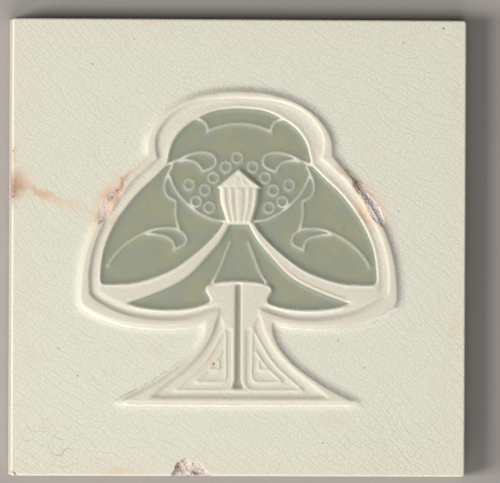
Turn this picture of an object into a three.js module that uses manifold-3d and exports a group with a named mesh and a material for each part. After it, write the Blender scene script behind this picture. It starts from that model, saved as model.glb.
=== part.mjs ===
// A six-inch press-moulded glazed tile with a stylised flower in low relief.
// Millimetres, +Z up. The tile lies on its back at z = 0, its glazed face up,
// and +Y points to the top of the flower.
import * as THREE from 'three';
import { mergeVertices } from 'three/addons/utils/BufferGeometryUtils.js';
import Module from 'manifold-3d';

// The tile's body
const TILE_SIDE = 152.4;
const BODY_THICKNESS = 9.5;
const CORNER_RADIUS = 1.1;
const FACE_EDGE_ROUND = 0.7;

// Keying grooves in the back
const GROOVE_COUNT = 8;
const GROOVE_WIDTH = 8;
const GROOVE_LAND = 6;
const GROOVE_LENGTH = 124;
const GROOVE_DEPTH = 1.2;

// Heights of the relief above the plain face
const BAND_RISE = 1.3;
const HOLLOW_RISE = 0.55;
const RIM_RISE = 0.95;
const FIELD_RISE = 0.15;
const PANEL_RISE = 0.6;
const STEM_GROOVE_RISE = 0.35;
const LID_RISE = 1.25;
const CAPSULE_RISE = 0.95;

// Widths of the sloping walls
const BAND_SLOPE = 1.3;
const STEP_SLOPE = 0.8;
const RIM_SLOPE = 1.9;
const FIELD_SLOPE = 0.5;

// Thin raised lines
const LINE_WIDTH = 0.9;
const LINE_HEIGHT = 0.4;
const RIDGE_WIDTH = 1.1;
const RIDGE_HEIGHT = 0.35;
const FOLD_HEIGHT = 0.18;
const LINE_STEP = 1.4;
const LINE_ROOT = 0.3;

// Rings of the flower's stamens
const RING_RADIUS = 1.75;
const RING_SIDES = 16;

// The capsule in the middle of the flower
const RIB_RISE = 0.45;
const RIB_GAP = 0.45;
const RIB_ROUND = 0.5;
const RIB_TOP = 19.9;
const RIB_FOOT = 8.5;

// Everything above the face is measured from these planes
const FACE = BODY_THICKNESS;
const HALF_SIDE = TILE_SIDE / 2;
const CLEAR_OF_RELIEF = BAND_RISE + LID_RISE;

const wasm = await Module();
wasm.setup();

// Joins a closed geometry's vertices and makes a solid of it
function solid(geometry) {
  const bare = geometry.index ? geometry.toNonIndexed() : geometry.clone();
  bare.deleteAttribute('normal');
  bare.deleteAttribute('uv');
  const merged = mergeVertices(bare, 1e-4);
  return new wasm.Manifold(new wasm.Mesh({
    numProp: 3,
    vertProperties: new Float32Array(merged.attributes.position.array),
    triVerts: new Uint32Array(merged.index.array),
  }));
}

// An outline is a list of runs. A run of two points is straight, a longer one is
// a smooth curve through its points, and the runs meet at corners.
function outline(runs) {
  const shape = new THREE.Shape();
  shape.moveTo(...runs[0][0]);
  for (const run of runs) {
    if (run.length === 2) shape.lineTo(...run[1]);
    else shape.splineThru(run.slice(1).map(([x, y]) => new THREE.Vector2(x, y)));
  }
  return shape;
}

const flipped = (run) => run.map(([x, y]) => [-x, y]);

// The runs of the right half, from the axis round to the axis, and the left half
function mirrored(runs) {
  const left = runs.map((run) => flipped(run).reverse()).reverse();
  return outline([...runs, ...left]);
}

// A block whose top edge slopes or rounds outwards to its foot. The outline lies
// half way along the slope.
function raised(shape, foot, top, slope, rounds = 1, detail = 2) {
  const rise = top - foot;
  const block = new THREE.ExtrudeGeometry(shape, {
    depth: rise,
    curveSegments: detail,
    bevelThickness: rise,
    bevelSize: slope,
    bevelOffset: -slope / 2,
    bevelSegments: rounds,
  });
  block.translate(0, 0, foot - rise);
  return solid(block);
}

// The tool for a hollow whose wall slopes in towards its floor
function hollow(shape, floor, top, slope, rounds = 1, detail = 2) {
  const depth = top - floor;
  const block = new THREE.ExtrudeGeometry(shape, {
    depth: CLEAR_OF_RELIEF,
    curveSegments: detail,
    bevelThickness: depth,
    bevelSize: slope,
    bevelOffset: -slope / 2,
    bevelSegments: rounds,
  });
  block.translate(0, 0, floor + depth);
  return solid(block);
}

// A line raised along a path on a floor, with sloping sides
function line(points, floor, width, height) {
  const path = new THREE.CatmullRomCurve3(
    points.map(([x, y]) => new THREE.Vector3(x, y, floor)),
    false,
    'centripetal',
  );
  const section = new THREE.Shape([
    new THREE.Vector2(LINE_ROOT, -width / 2),
    new THREE.Vector2(LINE_ROOT, width / 2),
    new THREE.Vector2(0, width / 2),
    new THREE.Vector2(-height, width / 5),
    new THREE.Vector2(-height, -width / 5),
    new THREE.Vector2(0, -width / 2),
  ]);
  const steps = Math.max(1, Math.ceil(path.getLength() / LINE_STEP));
  return solid(new THREE.ExtrudeGeometry(section, { steps, extrudePath: path }));
}

const bothSides = (points, ...rest) => [line(points, ...rest), line(flipped(points), ...rest)];

// The plain square body, with rounded corners and a soft edge to the face
function body() {
  const square = new THREE.Shape();
  const reach = HALF_SIDE - CORNER_RADIUS;
  square.absarc(reach, reach, CORNER_RADIUS, 0, Math.PI / 2);
  square.absarc(-reach, reach, CORNER_RADIUS, Math.PI / 2, Math.PI);
  square.absarc(-reach, -reach, CORNER_RADIUS, Math.PI, 1.5 * Math.PI);
  square.absarc(reach, -reach, CORNER_RADIUS, 1.5 * Math.PI, 2 * Math.PI);
  const slab = new THREE.ExtrudeGeometry(square, {
    depth: BODY_THICKNESS,
    curveSegments: 4,
    bevelThickness: FACE_EDGE_ROUND,
    bevelSize: FACE_EDGE_ROUND,
    bevelOffset: -FACE_EDGE_ROUND,
    bevelSegments: 3,
  });
  slab.translate(0, 0, -FACE_EDGE_ROUND);
  const back = new THREE.BoxGeometry(2 * TILE_SIDE, 2 * TILE_SIDE, BODY_THICKNESS);
  back.translate(0, 0, -BODY_THICKNESS / 2);
  return solid(slab).subtract(solid(back));
}

// Grooves across the back that the mortar keys into
function backGrooves() {
  const pitch = GROOVE_WIDTH + GROOVE_LAND;
  return Array.from({ length: GROOVE_COUNT }, (_, number) => {
    const groove = new THREE.BoxGeometry(GROOVE_LENGTH, GROOVE_WIDTH, 2 * GROOVE_DEPTH);
    groove.translate(0, (number - (GROOVE_COUNT - 1) / 2) * pitch, 0);
    return solid(groove);
  });
}

// The silhouette of the relief: a dome, two lobes and a spreading foot
const silhouette = mirrored([
  [[0, 52.5], [8, 52], [16, 50.1], [22, 47.2], [26.4, 43.7], [30, 39], [31.4, 34.8], [31.4, 31]],
  [[31.4, 31], [36, 25.6], [42, 18.6], [46, 12.4], [50, 4], [52.4, -4], [53.4, -12], [53.5, -17.5]],
  [[53.5, -17.5], [52.6, -19.8]],
  [[52.6, -19.8], [48, -22.4], [42, -24.6], [36, -25.9], [28, -26.6], [18, -26.2], [11.6, -25]],
  [[11.6, -25], [11.8, -28.4], [13.5, -32.5], [18, -38], [24, -42.7], [32, -47.6], [41, -52]],
  [[41, -52], [0, -52]],
]);

// The hollow inside the outer band of the dome and the lobes
const insideBand = mirrored([
  [[0, 50], [8, 49.6], [14, 48.6], [20, 46.3], [24.6, 42.4], [27.4, 38], [28, 34], [27.2, 29.8]],
  [[27.2, 29.8], [31, 26.3], [35, 22.7], [40, 16.3], [45, 8.5], [48.3, 0.5], [50, -8], [49.8, -15.2]],
  [[49.8, -15.2], [48, -17.2], [44.3, -19.4]],
  [[44.3, -19.4], [38, -22], [30, -23.5], [22, -23.8], [15, -22.9], [7.1, -20.2]],
  [[7.1, -20.2], [0, -20.2]],
]);

// The crest of the inner rim, which is the edge of the flower's block
const rimCrest = mirrored([
  [[0, 47.7], [8, 46.9], [14, 44.7], [19.4, 41], [23, 36], [24.7, 30], [24.6, 28.4]],
  [[24.6, 28.4], [28.8, 24.5], [34.8, 18.9], [40.4, 11.6], [44.3, 4.6], [46.5, -3.4], [47.3, -11.5], [47.3, -15]],
  [[47.3, -15], [44.6, -17.1], [38, -20], [33, -21.3], [26, -22.1], [18, -21.7], [12.4, -20.3], [8, -19.6]],
  [[8, -19.6], [5.8, -21.6]],
  [[5.8, -21.6], [0, -21.6]],
]);

// The upper glazed field, down to the ribbons that cross the flower
const upperField = mirrored([
  [[0, 46.8], [8, 46], [14, 43.4], [19, 39.9], [22.4, 35.2], [23.9, 29.8], [24.1, 27.9]],
  [[24.1, 27.9], [28, 24], [34, 18.4], [39.8, 11], [43.5, 4.2], [45.6, -2], [46.4, -9], [46.3, -11.4]],
  [[46.3, -11.4], [45.6, -12.2]],
  [[45.6, -12.2], [36, -12], [28, -9.9], [21, -6.8], [14.3, -1.9], [10, 2], [6.8, 5.5], [5, 8.4]],
  [[5, 8.4], [0, 8.4]],
]);

// The lower glazed field: the arch over the cup and the crescents on both sides
const lowerField = mirrored([
  [[0, 8], [3.4, 7.9]],
  [[3.4, 7.9], [4, 6.4], [6.6, 2], [10, -1.9], [15, -7.4], [20, -11.2], [28, -14.9], [37.6, -18.4]],
  [[37.6, -18.4], [34, -19.7], [28, -20.5], [22, -20.7], [15, -20], [10.1, -18.5]],
  [[10.1, -18.5], [9.5, -17.2], [10.6, -15.2], [11.2, -13.9], [10.4, -12.6]],
  [[10.4, -12.6], [6, -11.4], [0, -11]],
]);

// The step up from the shaft and its foot to the border round them
const shaftStep = [[6.6, -22.4], [7.7, -25.4], [8.7, -28.8], [12, -34.5], [18, -40.8], [24, -45.4], [29.6, -49.9]];

// The shaft and its spreading foot, sunk inside that border
const shaft = mirrored([
  [[0, -19], [7, -19.6]],
  [[7, -19.6], shaftStep[0]],
  shaftStep,
  [shaftStep.at(-1), [0, shaftStep.at(-1)[1]]],
]);

// The panel inside the foot, deeper than the shaft and running round under it
const SHAFT_HALF_WIDTH = 2.2;
const SHAFT_FOOT = -48;
const footPanel = mirrored([
  [[0, SHAFT_FOOT], [SHAFT_HALF_WIDTH, SHAFT_FOOT]],
  [[SHAFT_HALF_WIDTH, SHAFT_FOOT], [SHAFT_HALF_WIDTH, -27]],
  [[SHAFT_HALF_WIDTH, -27.5], [4.6, -26.8]],
  [[4.6, -26.8], shaftStep[0]],
  shaftStep,
  [shaftStep.at(-1), [0, shaftStep.at(-1)[1]]],
]);

// The slot that runs down the shaft and flares at its foot
const STEM_CENTRE = -0.3;
const STEM_HALF_WIDTH = 0.75;
const STEM_FLARE = 2;
const stemSlot = outline([
  [[STEM_CENTRE - STEM_HALF_WIDTH, -12.2], [STEM_CENTRE + STEM_HALF_WIDTH, -12.2]],
  [[STEM_CENTRE + STEM_HALF_WIDTH, -12.2], [STEM_CENTRE + STEM_HALF_WIDTH, -43.4]],
  [[STEM_CENTRE + STEM_HALF_WIDTH, -43.4], [STEM_CENTRE + 1.1, -45.2], [STEM_CENTRE + STEM_FLARE, -46.9]],
  [[STEM_CENTRE + STEM_FLARE, -46.9], [STEM_CENTRE - STEM_FLARE, -46.9]],
  [[STEM_CENTRE - STEM_FLARE, -46.9], [STEM_CENTRE - 1.1, -45.2], [STEM_CENTRE - STEM_HALF_WIDTH, -43.4]],
  [[STEM_CENTRE - STEM_HALF_WIDTH, -43.4], [STEM_CENTRE - STEM_HALF_WIDTH, -12.2]],
]);

// Ridges that outline the nested panels of the foot, for the right side
const footRidges = [
  [[SHAFT_HALF_WIDTH, -45], [2.7, -46.5], [4.4, -47.4], [8, -47.5], [21.6, -47.5]],
  [[0, -47.5], [4.4, -47.5]],
  [[21.6, -47.5], [17, -43.6], [11.8, -38.6], [7.3, -31.8], [4.6, -26.8]],
  [[4.4, -27], [4.4, -36], [4.4, -43], [4.8, -44.3], [6, -44.7], [14.6, -44.7]],
  [[14.6, -44.7], [11.4, -41.8], [8.4, -38.6], [5.6, -34.4]],
  [[6.7, -37.6], [6.7, -40.6]],
  [[6.7, -40.6], [10, -40.6]],
];

// Thin lines on the glazed fields, for the right side
const fieldLines = [
  [[0, 41.5], [4, 41.1], [8, 40], [10.9, 38.6]],
  [[10.9, 38.6], [10.7, 40], [11.6, 41.8], [13, 42.6], [15.2, 43]],
  [[24.3, 27.6], [20, 29.5], [16, 31.3], [12, 31.9], [9, 31], [7.7, 28.9], [8.9, 26.9], [12.5, 25.4]],
  [[20.5, 28.9], [17, 29.1], [14.6, 28.6], [12.9, 26.8], [12.5, 25.4]],
  [[22.3, 27.6], [24.3, 23.8], [25.2, 20.3], [24.2, 17.4], [21.2, 15.6]],
  [[21.2, 15.6], [21.4, 11], [20.2, 6.2]],
  [[23.7, 24.6], [21.9, 20.2], [18.4, 15.6], [14, 11.9], [9.5, 9.7], [3.8, 8.6]],
  [[44.2, -6.6], [42, -3], [38, 1.1], [33, 4.3], [27, 6.4], [20.8, 6.1], [18, 4], [17.7, 1.7], [22, -0.8]],
  [[31.5, 4.6], [27, 4.2], [23.4, 3.2], [21.8, 1.2], [22, -0.8]],
  [[2.9, 2.4], [5, -3], [7, -8], [9.3, -12]],
];

// Centres of the stamens' rings
const rings = [
  [-0.7, 30.1],
  ...[[4.5, 27], [8.7, 23.4], [16.8, 21.1], [11.5, 19.3], [14.5, 15.45], [10, 13.5]]
    .flatMap(([x, y]) => [[x, y], [-x, y]]),
];

function stamen([x, y]) {
  const floor = FACE + FIELD_RISE;
  const section = [
    [RING_RADIUS - LINE_WIDTH / 2, -LINE_ROOT],
    [RING_RADIUS + LINE_WIDTH / 2, -LINE_ROOT],
    [RING_RADIUS + LINE_WIDTH / 5, LINE_HEIGHT],
    [RING_RADIUS - LINE_WIDTH / 5, LINE_HEIGHT],
    [RING_RADIUS - LINE_WIDTH / 2, -LINE_ROOT],
  ];
  const ring = new THREE.LatheGeometry(section.map(([r, z]) => new THREE.Vector2(r, z)), RING_SIDES);
  ring.rotateX(Math.PI / 2);
  ring.translate(x, y, floor);
  return solid(ring);
}

// The capsule: a fluted cup under a pointed lid
const capsuleCup = mirrored([
  [[0, 20.6], [6.5, 20.6]],
  [[6.5, 20.6], [6.4, 17], [6, 14.4], [4.9, 11.2], [4.1, 8.2]],
  [[4.1, 8.2], [0, 8.1]],
]);
const capsuleLid = mirrored([
  [[0, 25.9], [4.2, 22.4]],
  [[4.2, 22.4], [7.3, 20.1]],
  [[7.3, 20.1], [0, 20.1]],
]);

// Folds that run down from the lid's point, for the right side
const lidFolds = [
  [[0.3, 24.8], [1.7, 20.9]],
  [[1.4, 23.9], [4.8, 20.9]],
];

// Places where the flutes meet, at the top, the middle and the foot of the cup
const FLUTE_TOPS = [-6.4, -4.2, -1.7, 1.7, 4.2, 6.4];
const FLUTE_WAISTS = [-5.8, -3.8, -1.6, 1.6, 3.8, 5.8];
const FLUTE_FEET = [-4, -2.4, -0.9, 0.9, 2.4, 4];

function capsule() {
  const cup = raised(capsuleCup, FACE + FIELD_RISE, FACE + CAPSULE_RISE, FIELD_SLOPE);
  const lid = raised(capsuleLid, FACE + FIELD_RISE, FACE + LID_RISE, 2 * FIELD_SLOPE, 2);
  const waist = (RIB_TOP + RIB_FOOT) / 2;
  const ribs = FLUTE_TOPS.slice(1).map((_, number) => {
    const next = number + 1;
    const rib = outline([
      [[FLUTE_TOPS[number] + RIB_GAP, RIB_TOP], [FLUTE_TOPS[next] - RIB_GAP, RIB_TOP]],
      [
        [FLUTE_TOPS[next] - RIB_GAP, RIB_TOP],
        [FLUTE_WAISTS[next] - RIB_GAP, waist],
        [FLUTE_FEET[next] - RIB_GAP / 2, RIB_FOOT],
      ],
      [[FLUTE_FEET[next] - RIB_GAP / 2, RIB_FOOT], [FLUTE_FEET[number] + RIB_GAP / 2, RIB_FOOT]],
      [
        [FLUTE_FEET[number] + RIB_GAP / 2, RIB_FOOT],
        [FLUTE_WAISTS[number] + RIB_GAP, waist],
        [FLUTE_TOPS[number] + RIB_GAP, RIB_TOP],
      ],
    ]);
    const top = FACE + CAPSULE_RISE;
    return raised(rib, top, top + RIB_RISE, RIB_ROUND, 2);
  });
  const folds = lidFolds.flatMap((points) => (
    bothSides(points, FACE + LID_RISE, LINE_WIDTH, FOLD_HEIGHT)
  ));
  return [cup, lid, ...ribs, ...folds];
}

// Chips out of the fired tile, each a rounded scoop: its middle, its three half
// lengths, and its turn in degrees
const chips = [
  { at: [-16.2, -HALF_SIDE - 1, FACE + 0.3], reach: [5.9, 7.2, 2.4], turn: 0 },
  { at: [-HALF_SIDE, -HALF_SIDE, FACE], reach: [2.2, 2.2, 1.6], turn: 0 },
  { at: [-41.2, 18.4, FACE + BAND_RISE], reach: [4.4, 1.7, 0.9], turn: 60 },
  { at: [-45.2, 11.6, FACE + BAND_RISE], reach: [4.2, 1.6, 0.8], turn: 62 },
  { at: [40.6, 19.4, FACE + BAND_RISE], reach: [3.4, 1.2, 0.7], turn: -52 },
  { at: [45.6, 12, FACE + BAND_RISE], reach: [5.2, 1.5, 0.9], turn: -58 },
];

function chip({ at, reach, turn }) {
  const scoop = new THREE.IcosahedronGeometry(1, 2);
  scoop.scale(...reach);
  scoop.rotateZ(THREE.MathUtils.degToRad(turn));
  scoop.translate(...at);
  return solid(scoop);
}

function carvedTile() {
  const fieldFloor = FACE + FIELD_RISE;
  const band = raised(silhouette, FACE, FACE + BAND_RISE, BAND_SLOPE, 2);
  const bandHollow = hollow(insideBand, FACE + HOLLOW_RISE, FACE + BAND_RISE, STEP_SLOPE);
  const shaftHollow = hollow(shaft, FACE + RIM_RISE, FACE + BAND_RISE, STEP_SLOPE);
  const flower = raised(rimCrest, FACE + HOLLOW_RISE, FACE + RIM_RISE, RIM_SLOPE);
  const fields = [upperField, lowerField].map((field) => (
    hollow(field, fieldFloor, FACE + RIM_RISE, FIELD_SLOPE)
  ));
  const panel = hollow(footPanel, FACE + PANEL_RISE, FACE + BAND_RISE, STEP_SLOPE);
  const slot = hollow(stemSlot, FACE + STEM_GROOVE_RISE, FACE + RIM_RISE, FIELD_SLOPE / 2);
  const panelFloor = FACE + PANEL_RISE;

  let tile = body().add(band).subtract(bandHollow).subtract(shaftHollow).add(flower);
  for (const tool of [...fields, panel]) tile = tile.subtract(tool);
  for (const points of footRidges) {
    for (const ridge of bothSides(points, panelFloor, RIDGE_WIDTH, RIDGE_HEIGHT)) tile = tile.add(ridge);
  }
  for (const points of fieldLines) {
    for (const thread of bothSides(points, fieldFloor, LINE_WIDTH, LINE_HEIGHT)) tile = tile.add(thread);
  }
  for (const ring of rings.map(stamen)) tile = tile.add(ring);
  for (const piece of capsule()) tile = tile.add(piece);
  tile = tile.subtract(slot);
  for (const scoop of chips.map(chip)) tile = tile.subtract(scoop);
  for (const groove of backGrooves()) tile = tile.subtract(groove);
  return tile;
}

function meshOf(shape, name, material) {
  const { vertProperties, triVerts } = shape.getMesh();
  const geometry = new THREE.BufferGeometry();
  geometry.setAttribute('position', new THREE.BufferAttribute(new Float32Array(vertProperties), 3));
  geometry.setIndex(new THREE.BufferAttribute(new Uint32Array(triVerts), 1));
  geometry.computeVertexNormals();
  const mesh = new THREE.Mesh(geometry, material);
  mesh.name = name;
  return mesh;
}

const celadonGlaze = new THREE.MeshStandardMaterial({ color: 0xdedeca, roughness: 0.25, metalness: 0 });

const model = new THREE.Group();
model.add(meshOf(carvedTile(), 'tile', celadonGlaze));

export default model;
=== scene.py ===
import math

import bpy
import numpy as np
from mathutils import Matrix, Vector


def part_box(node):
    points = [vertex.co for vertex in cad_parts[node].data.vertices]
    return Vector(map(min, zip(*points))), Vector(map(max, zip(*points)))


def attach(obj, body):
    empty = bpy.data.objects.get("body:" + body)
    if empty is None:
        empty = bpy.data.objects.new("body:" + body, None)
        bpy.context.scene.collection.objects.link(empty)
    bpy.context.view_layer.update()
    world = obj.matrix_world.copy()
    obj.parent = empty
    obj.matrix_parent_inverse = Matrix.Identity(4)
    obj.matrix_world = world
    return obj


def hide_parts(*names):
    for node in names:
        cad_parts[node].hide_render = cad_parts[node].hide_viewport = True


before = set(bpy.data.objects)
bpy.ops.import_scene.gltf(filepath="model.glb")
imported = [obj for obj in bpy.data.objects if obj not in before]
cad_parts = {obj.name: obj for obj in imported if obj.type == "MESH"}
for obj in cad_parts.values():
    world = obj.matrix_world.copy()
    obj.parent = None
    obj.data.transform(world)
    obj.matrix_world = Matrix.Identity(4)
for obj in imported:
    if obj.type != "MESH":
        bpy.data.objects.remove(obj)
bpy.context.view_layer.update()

# The pressed clay. The tile is one slab of clay dust, pressed dry in a steel die that gives it
# both its square edge and its low relief, and then fired. Its pressed shape is the packed
# solid's upper side, taken here as heights on a fine square grid.
MM = 0.001
HALF_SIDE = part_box("tile")[1].x
CORNER_RADIUS = 1.1 * MM
EDGE_ROUND = 0.7 * MM
FACE = 9.5 * MM
FIELD_FLOOR = FACE + 0.15 * MM
SLOT_FLOOR = FACE + 0.35 * MM
SHEET_HALF = HALF_SIDE - EDGE_ROUND
GRID_CELLS = 1024
CELL = 2 * SHEET_HALF / GRID_CELLS


def counted(first, last):
    """For each pair of limits, every whole number between them, beside the pair's own number."""
    lengths = np.maximum(last - first + 1, 0)
    owner = np.repeat(np.arange(len(first)), lengths)
    step = np.arange(len(owner)) - np.repeat(np.cumsum(lengths) - lengths, lengths)
    return owner, first[owner] + step


def pressed_heights(corners):
    """Heights of the clay on the grid. Each upward triangle is cut by the grid's rows, each cut is
    filled between its two crossings, and the height there is that of the triangle's plane."""
    corners = (corners + [SHEET_HALF, SHEET_HALF, 0]) / [CELL, CELL, 1]
    normals = np.cross(corners[:, 1] - corners[:, 0], corners[:, 2] - corners[:, 0])
    upward = normals[:, 2] > 1e-9
    corners, normals = corners[upward], normals[upward]
    rows = corners[:, :, 1]
    first = np.maximum(np.ceil(rows.min(1)), 0).astype(int)
    last = np.minimum(np.floor(rows.max(1)), GRID_CELLS).astype(int)
    owner, row = counted(first, last)
    start = corners[owner]
    end = np.roll(start, -1, axis=1)
    rise = end[:, :, 1] - start[:, :, 1]
    level = np.abs(rise) < 1e-12
    share = (row[:, None] - start[:, :, 1]) / np.where(level, 1, rise)
    crossed = ~level & (share >= 0) & (share <= 1)
    column = start[:, :, 0] + share * (end[:, :, 0] - start[:, :, 0])
    left = np.where(crossed, column, np.inf).min(1)
    right = np.where(crossed, column, -np.inf).max(1)
    kept = right >= left
    owner, row, left, right = owner[kept], row[kept], left[kept], right[kept]
    cut, column = counted(
        np.maximum(np.ceil(left - 1e-6), 0).astype(int),
        np.minimum(np.floor(right + 1e-6), GRID_CELLS).astype(int),
    )
    owner, row = owner[cut], row[cut]
    slope = -normals[:, :2] / normals[:, 2:]
    anchor = corners[owner, 0]
    heights = np.full((GRID_CELLS + 1, GRID_CELLS + 1), FACE)
    heights[row, column] = (
        anchor[:, 2]
        + slope[owner, 0] * (column - anchor[:, 0])
        + slope[owner, 1] * (row - anchor[:, 1])
    )
    return heights


def node_triangles(node):
    """The node's triangles as an array of (triangle, corner, coordinate)."""
    mesh = node.data
    mesh.calc_loop_triangles()
    places = np.empty(len(mesh.vertices) * 3, np.float32)
    mesh.vertices.foreach_get("co", places)
    corners = np.empty(len(mesh.loop_triangles) * 3, np.int32)
    mesh.loop_triangles.foreach_get("vertices", corners)
    return places.reshape(-1, 3).astype(float)[corners].reshape(-1, 3, 3)


def blurred(field, width):
    """A Gaussian blur: the field's transform times exp(-2 (pi width f)²), with its edges repeated."""
    margin = int(4 * width / CELL) + 2
    padded = np.pad(field, margin, mode="edge")
    across = np.fft.rfftfreq(padded.shape[1], CELL)
    down = np.fft.fftfreq(padded.shape[0], CELL)
    weight = np.exp(-2 * (math.pi * width) ** 2 * (across[None, :] ** 2 + down[:, None] ** 2))
    smooth = np.fft.irfft2(np.fft.rfft2(padded) * weight, padded.shape)
    return smooth[margin:-margin, margin:-margin]


def smoothstep(low, high, value):
    """0 below low, 1 above high, and 3 t² - 2 t³ between."""
    t = np.clip((value - low) / (high - low), 0, 1)
    return t * t * (3 - 2 * t)


def mottle(width, seed):
    """Even random mottling of one size: blurred white noise, scaled to a spread of 1."""
    noise = np.random.default_rng(seed).standard_normal((GRID_CELLS + 1, GRID_CELLS + 1))
    soft = blurred(noise, width)
    return soft / soft.std()


clay = pressed_heights(node_triangles(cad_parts["tile"]))
line = np.linspace(-SHEET_HALF, SHEET_HALF, GRID_CELLS + 1)
across, along = np.meshgrid(line, line)

# The glaze. Glass powder in water was flooded over the fired clay and melted: a pale celadon
# over all, and a green one in the sunk fields. It thins over every crest and pools in corners,
# and a thin raised lip along each field kept the green glaze in.
EDGE_SOFTNESS = 0.33 * MM
OUTER_SOFTNESS = 0.75 * MM
LINE_SOFTNESS = 0.48 * MM
LINE_SUNK = 0.8
SLOT_SUNK = 0.9
POOL_REACH = 0.9 * MM
POOL_SHARE = 0.7
POOL_EASE = 0.02 * MM
FIELD_EDGE = 0.28 * MM
FIELD_INSIDE = 1.1 * MM
FIELD_DEEP = 1.7 * MM
SLOT_EDGE = 0.3 * MM
SLOT_REACH = 0.6 * MM
RISE_SOFTNESS = 0.3 * MM
RAISED_SOFTNESS = 0.5 * MM
OUTLINE_REACH = 0.8 * MM
SKIRT_REACH = 0.75 * MM
CREST_REACH = 0.9 * MM
HOLLOW_REACH = 0.8 * MM
LIP_HEIGHT = 0.06 * MM
LIP_SOFTNESS = 0.12 * MM
LIP_REACH = 0.5 * MM
PALE_LIP_REACH = 0.9 * MM
FIELD_SLOPE_REACH = 1.2 * MM
SEAM_DEPTH = 0.05 * MM
SEAM_SOFTNESS = 0.15 * MM
LOWER_SIDE_SOFTNESS = 0.1 * MM
LEVEL_ALLOWANCE = 0.02 * MM
RELIEF_FOOT = 0.06 * MM

# The body as it was before its losses: each of the solid's scoops, as (middle, reach, turn) in
# millimetres and degrees, is filled by a blur of the clay round it over the same blur of a mask.
SCOOPS = (
    ((-16.2, -77.2, 9.8), (5.9, 7.2, 2.4), 0),
    ((-76.2, -76.2, 9.5), (2.2, 2.2, 1.6), 0),
    ((-41.2, 18.4, 10.8), (4.4, 1.7, 0.9), 60),
    ((-45.2, 11.6, 10.8), (4.2, 1.6, 0.8), 62),
    ((40.6, 19.4, 10.8), (3.4, 1.2, 0.7), -52),
    ((45.6, 12.0, 10.8), (5.2, 1.5, 0.9), -58),
)
SCOOP_MARGIN = 1.1
FILL_WIDTHS = (0.8 * MM, 2.6 * MM)
FILL_LEAST = 0.02


def oval_share(middle, reach, turn):
    """How far each place is from an oval's middle, squared: 0 there and 1 on the oval."""
    lean = math.radians(turn)
    out_x, out_y = across - middle[0] * MM, along - middle[1] * MM
    right = out_x * math.cos(lean) + out_y * math.sin(lean)
    up = out_y * math.cos(lean) - out_x * math.sin(lean)
    return (right / (reach[0] * MM)) ** 2 + (up / (reach[1] * MM)) ** 2


scooped = np.min([oval_share(*scoop) for scoop in SCOOPS], axis=0) < SCOOP_MARGIN
kept = (~scooped).astype(float)
for width in FILL_WIDTHS:
    around = blurred(kept, width)
    filled = blurred(clay * kept, width) / np.maximum(around, 1e-9)
    clay = np.where((kept == 0) & (around > FILL_LEAST), filled, clay)
    kept = np.where(around > FILL_LEAST, 1.0, kept)


def lying_at(level):
    """1 where the clay lies flat at a level, and 0 elsewhere."""
    return (np.abs(clay - level) < LEVEL_ALLOWANCE).astype(float)


def risen(low, high, width):
    """How far the clay, blurred by a width, has risen from one height above the face to another."""
    return smoothstep(FACE + low, FACE + high, blurred(clay, width))


# Where each glass lies, as shares from 0 to 1: the green one in the fields, deeper at their
# edges, and a browner one in the stem's slot. A blurred mask is 0.5 on its own straight edge, so
# the two limits that follow say how far to each side of the edge a glass fades.
field_floor, slot_floor, ground = lying_at(FIELD_FLOOR), lying_at(SLOT_FLOOR), lying_at(FACE)
in_field = smoothstep(0.2, 0.62, blurred(field_floor, FIELD_EDGE))
whole_field = smoothstep(0.45, 0.72, blurred(field_floor, FIELD_INSIDE))
near_slot = smoothstep(0.04, 0.25, blurred(slot_floor, SLOT_REACH))
green = np.maximum(in_field, 0.72 * whole_field)
deep = in_field * smoothstep(0.97, 0.7, blurred(field_floor, FIELD_DEEP))
stem = smoothstep(0.08, 0.45, blurred(slot_floor, SLOT_EDGE))

# The melted surface: softened arrises, softer still at the outline's foot, lines half drowned in
# the green glass, and a lip along each field.
to_field = blurred(field_floor, LIP_REACH)
lip = smoothstep(0.015, 0.12, to_field) * smoothstep(0.42, 0.16, to_field)
lip = lip * risen(0.45 * MM, 0.7 * MM, RISE_SOFTNESS)
outer = smoothstep(0.03, 0.25, blurred(ground, OUTLINE_REACH))
bare_relief = blurred(clay, EDGE_SOFTNESS)
bare_relief = bare_relief + outer * (blurred(clay, OUTER_SOFTNESS) - bare_relief)
sunk_share = np.maximum(LINE_SUNK * whole_field, SLOT_SUNK * near_slot)
fired = bare_relief + sunk_share * (blurred(clay, LINE_SOFTNESS) - bare_relief)
fired = fired + LIP_HEIGHT * blurred(lip, LIP_SOFTNESS)

# Painted shade along the right-hand ribbon's lower side, with a slight dip there, and painted
# highlights on field lips facing up and right and on outer flanks falling right, where shade lies.
field_slope = np.gradient(blurred(field_floor, FIELD_SLOPE_REACH), CELL / FIELD_SLOPE_REACH)
field_below = smoothstep(0.08, 0.24, -field_slope[0])
field_above = smoothstep(0.06, 0.22, 0.5 * field_slope[1] + 0.87 * field_slope[0])
on_ribbon = (across > 4 * MM) & (along < 2 * MM) & (along > -29 * MM)
beside_field = blurred(field_floor, PALE_LIP_REACH)
# Painted shade: the lower side of the right-hand ribbon is darkened where the lamps light it.
shaded_seam = field_below * on_ribbon * smoothstep(0.01, 0.05, beside_field) * smoothstep(0.2, 0.1, beside_field)
shaded_seam = blurred(shaded_seam, SEAM_SOFTNESS) * risen(0.5 * MM, 0.8 * MM, RISE_SOFTNESS)
lower_side_shade = field_below * on_ribbon * smoothstep(0.03, 0.2, to_field)
# Painted highlight on the field lips that face up and right, away from the lamps.
painted_lip_light = field_above * smoothstep(0.03, 0.08, beside_field) * smoothstep(0.38, 0.26, beside_field)
painted_lip_light = painted_lip_light * risen(0.5 * MM, 0.75 * MM, RISE_SOFTNESS)
# Painted light on the outer flanks that fall to the right, lifting their shade.
right_flank_light = outer * smoothstep(0.05, 0.35, -np.gradient(fired, CELL, axis=1))
painted_lip_light = np.maximum(0.7 * painted_lip_light, right_flank_light)
fired = fired - SEAM_DEPTH * shaded_seam
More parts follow.
